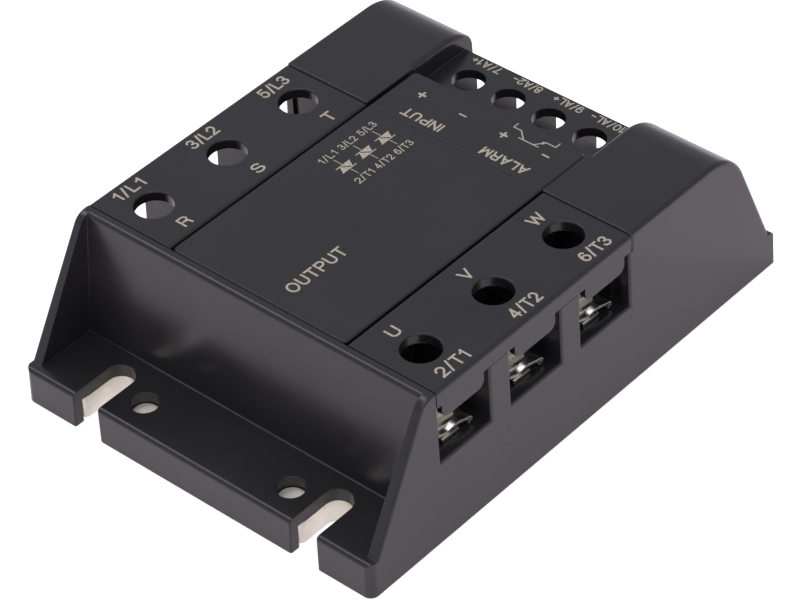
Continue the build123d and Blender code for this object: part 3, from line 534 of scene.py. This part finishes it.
lead_top, bar_top, bar_low, lead_low = TRIAC_X
for row in range(3):
    tag = row + 1
    y = TRIAC_FIRST_Y + row * TRIAC_PITCH
    mark(f"print_small_line_{tag}", LINE_NUMBERS[row], (SMALL_LINE_X, y), SMALL_HEIGHT,
         SMALL_LINE_WIDTH, TO_LINE, PANEL, weight=SMALL_WEIGHT)
    mark(f"print_small_load_{tag}", LOAD_NUMBERS[row], (SMALL_LOAD_X, y), SMALL_HEIGHT,
         SMALL_LOAD_WIDTH, TO_LINE, PANEL, weight=SMALL_WEIGHT)
    leads = [[(lead_top, y), (bar_top, y)], [(bar_low, y), (lead_low, y)]]
    symbol(f"print_triac_{tag}", leads, LEAD_WIDTH, PANEL)
    bars = [[(x, y - TRIAC_HALF), (x, y + TRIAC_HALF)] for x in (bar_top, bar_low)]
    arrowheads = [
        [(bar_top, y - TRIAC_BASE), (bar_top, y + TRIAC_HALF), (bar_low, y + TRIAC_TIP)],
        [(bar_low, y + TRIAC_BASE), (bar_low, y - TRIAC_HALF), (bar_top, y - TRIAC_TIP)],
    ]
    symbol(f"print_triac_gates_{tag}", bars, BAR_WIDTH, PANEL, fills=arrowheads)

SIGN_HALF = 0.6
PLUS_Y = 21.25
PLUS_WIDTH = 0.42
MINUS_Y = 21.15
MINUS_WIDTH = 0.34
for name, x in (("input", -13.2), ("alarm", 4.5)):
    level_bar = [(x - SIGN_HALF, PLUS_Y), (x + SIGN_HALF, PLUS_Y)]
    cross_bar = [(x, PLUS_Y - SIGN_HALF), (x, PLUS_Y + SIGN_HALF)]
    symbol(f"print_{name}_plus", [level_bar, cross_bar], PLUS_WIDTH, PANEL)
for name, x in (("input", -4.25), ("alarm", 13.5)):
    bar = [(x - SIGN_HALF, MINUS_Y), (x + SIGN_HALF, MINUS_Y)]
    symbol(f"print_{name}_minus", [bar], MINUS_WIDTH, PANEL)

# alarm contact: two bent leads slope down to a bar, with an arrow beside one slope
CONTACT_END_Y = 25.05
CONTACT_LEAD_Y = 23.93
CONTACT_FOOT_Y = 22.25
CONTACT_BAR_Y = 22.2
CONTACT_WIDTH = 0.22
CONTACT_ARROW = [(11.6, 24.1), (10.75, 23.75), (11.2, 23.1)]


def contact_lead(end, elbow, foot):
    """Points of a lead, from x values, starting at its end."""
    return [
        (end, CONTACT_END_Y),
        (end, CONTACT_LEAD_Y),
        (elbow, CONTACT_LEAD_Y),
        (foot, CONTACT_FOOT_Y),
    ]


minus_lead = contact_lead(end=13.4, elbow=11.4, foot=10.05)
plus_lead = contact_lead(end=4.5, elbow=6.1, foot=7.9)[::-1]
contact_bar = [(11.1, CONTACT_BAR_Y), (7.0, CONTACT_BAR_Y)]
symbol("print_alarm_switch", [minus_lead, contact_bar, plus_lead], CONTACT_WIDTH, PANEL,
       fills=[CONTACT_ARROW])

# ---------------------------------------------------------------- print on the control strip
CONTROL_Y = 38.2
CONTROL_HEIGHT = 1.8
CONTROL_PRINTS = (                  # text, how far its middle is off the terminal's, width
    ("7/A1+", -0.16, 6.2),
    ("8/A2-", -0.02, 6.0),
    ("9/AL+", 0.12, 6.2),
    ("10/AL-", -0.14, 7.0),
)
for row, (text, shift, width) in enumerate(CONTROL_PRINTS):
    number = text.split("/")[0]
    x = mount_places[f"control_{row + 1}_terminal"].x + shift
    mark(f"print_control_{number}", text, (x, CONTROL_Y), CONTROL_HEIGHT, width, TO_NEAR, STRIP)

# ---------------------------------------------------------------- studio (metres)
FLOOR_SIZE = 6.0
FLOOR_DROP = 0.05 * MM              # keeps the floor clear of the base plate's face
FLOOR_TONES = ((0.9, 0.895, 0.895), (0.93, 0.925, 0.925))
GLOW = 0.43
GLOW_ON_OBJECT = (1.0, 0.78, 0.88)
GLOW_TO_CAMERA = (1.5, 1.5, 1.5)


def floor_material():
    """Pale paper that shines softly, so that the dark sides have something to mirror."""
    look = Look("floor_paper")
    tone = look.remap(look.noise(scale=90.0), MIDDLE, WHOLE)
    look.set("Base Color", look.mix(tone, *FLOOR_TONES))
    look.set("Roughness", 0.9)
    look.set("Specular IOR Level", 0.1)
    seen = look.add("ShaderNodeLightPath").outputs["Is Camera Ray"]
    look.set("Emission Color", look.mix(seen, GLOW_ON_OBJECT, GLOW_TO_CAMERA))
    look.set("Emission Strength", GLOW)
    return look.material


def lay_floor():
    """A wide square under the relay."""
    half = FLOOR_SIZE / 2
    z = -FLOOR_DROP
    corners = [(-half, -half, z), (half, -half, z), (half, half, z), (-half, half, z)]
    mesh = bpy.data.meshes.new("floor")
    mesh.from_pydata(corners, [], [(0, 1, 2, 3)])
    mesh.materials.append(floor_material())
    plane = bpy.data.objects.new("floor", mesh)
    bpy.context.scene.collection.objects.link(plane)


def softbox(name, place, target, size, power, colour):
    """A square lamp that faces its target."""
    data = bpy.data.lights.new(name, "AREA")
    data.shape = "RECTANGLE"
    data.size = size
    data.size_y = size
    data.energy = power
    data.color = colour
    lamp = bpy.data.objects.new(name, data)
    bpy.context.scene.collection.objects.link(lamp)
    lamp.location = place
    aim = (Vector(target) - Vector(place)).to_track_quat("-Z", "Y")
    lamp.rotation_euler = aim.to_euler()


SKY_COLOUR = (0.9, 0.92, 1.0, 1.0)
SKY_STRENGTH = 0.56

lay_floor()
softbox("overhead", place=(0.15, -0.25, 1.1), target=(0, 0, 0), size=0.8, power=3.4,
        colour=(0.98, 0.95, 1.0))
softbox("left_high", place=(-0.62, 0.03, 1.0), target=(0, 0, 0), size=0.42, power=1.6,
        colour=(0.97, 0.95, 1.0))
softbox("right_fill", place=(1.0, -0.5, 0.6), target=(0, 0, 0.02), size=0.6, power=0.8,
        colour=(1.0, 0.95, 0.95))

world = bpy.data.worlds.new("studio")
world.use_nodes = True
sky = world.node_tree.nodes["Background"]
sky.inputs["Color"].default_value = SKY_COLOUR
sky.inputs["Strength"].default_value = SKY_STRENGTH
bpy.context.scene.world = world

# ---------------------------------------------------------------- camera
AZIMUTH = math.radians(42.821)
ELEVATION = math.radians(40.401)
ROLL = math.radians(-3.017)
TARGET = Vector((6.137, -7.758, 15.0)) * MM
DISTANCE = 605.366 * MM
LENS = 166.88
SENSOR_WIDTH = 36.0
NEAR_CLIP = 0.01

back = Vector((
    math.sin(AZIMUTH) * math.cos(ELEVATION),
    -math.cos(AZIMUTH) * math.cos(ELEVATION),
    math.sin(ELEVATION),
))
level = (-back).cross(UP).normalized()
rise = level.cross(-back)
right = level * math.cos(ROLL) + rise * math.sin(ROLL)
top = rise * math.cos(ROLL) - level * math.sin(ROLL)
pose = Matrix((right, top, back)).transposed().to_4x4()
pose.translation = TARGET + back * DISTANCE

camera_data = bpy.data.cameras.new("camera")
camera_data.lens = LENS
camera_data.sensor_width = SENSOR_WIDTH
camera_data.clip_start = NEAR_CLIP
camera = bpy.data.objects.new("camera", camera_data)
camera.matrix_world = pose
bpy.context.scene.collection.objects.link(camera)
bpy.context.scene.camera = camera
bpy.context.scene.view_settings.view_transform = "Standard"
